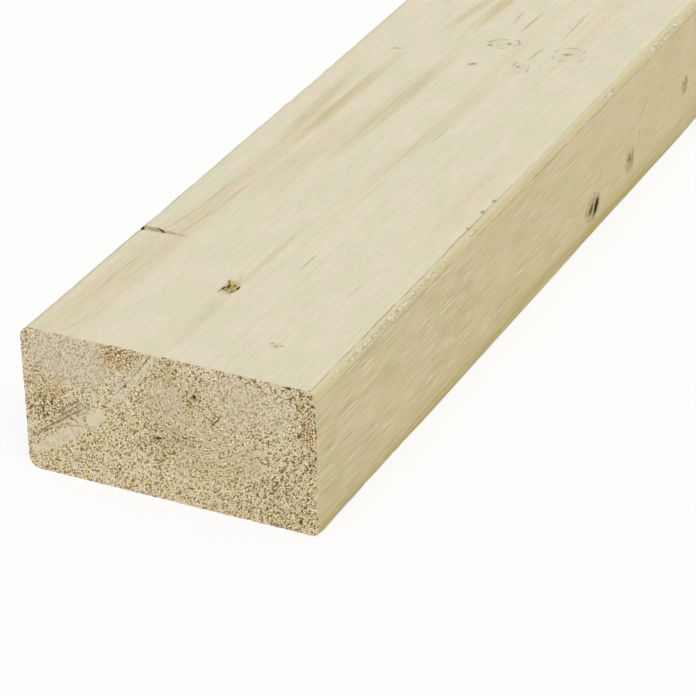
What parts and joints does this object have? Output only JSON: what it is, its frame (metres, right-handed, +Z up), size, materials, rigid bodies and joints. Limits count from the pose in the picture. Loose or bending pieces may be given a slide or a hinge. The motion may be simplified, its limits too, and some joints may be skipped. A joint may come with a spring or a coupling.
{
  "type": "timber lumber plank",
  "caption": "Straight length of dressed softwood framing timber with a rectangular section, eased long edges and square sawn ends, for building frames and studwork.",
  "frame": {"origin": "centre of the bottom wide face", "axes": "+Y along the grain and the length, away from the end seen in the picture; +Z up, through the thickness; +X across the wide face"},
  "size_m": [0.09, 1.8, 0.045],
  "materials": {
    "timber": "matte"
  },
  "bodies": {
    "root": {"plank": "timber"}
  },
  "joints": []
}
